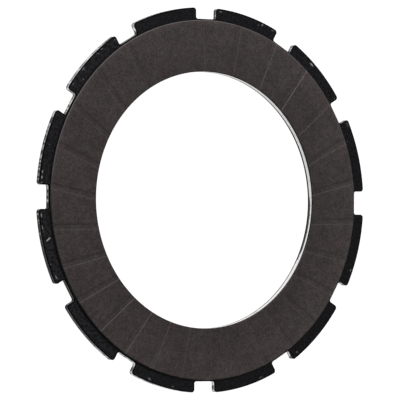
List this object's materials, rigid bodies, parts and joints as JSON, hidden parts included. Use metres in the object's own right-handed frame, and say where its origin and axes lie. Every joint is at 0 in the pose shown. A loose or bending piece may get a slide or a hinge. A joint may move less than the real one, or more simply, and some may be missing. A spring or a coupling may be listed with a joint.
{
  "type": "clutch disc",
  "caption": "Flat clutch friction disc with broad drive lugs on its rim, a wide bore and a grooved friction ring on each side.",
  "frame": {"origin": "on the bore's axis, at the middle of the disc's thickness", "axes": "+Z along the bore's axis, out of the front facing; one rim notch is centred on +X and one on +Y"},
  "size_m": [0.1498, 0.1498, 0.0038],
  "materials": {
    "core_steel": "satin black coat on both faces, bare blanked edges",
    "friction_facing": "matt moulded friction composite, dark warm grey"
  },
  "bodies": {
    "root": {"core_plate": "core_steel", "front_facing": "friction_facing", "rear_facing": "friction_facing"}
  },
  "joints": []
}
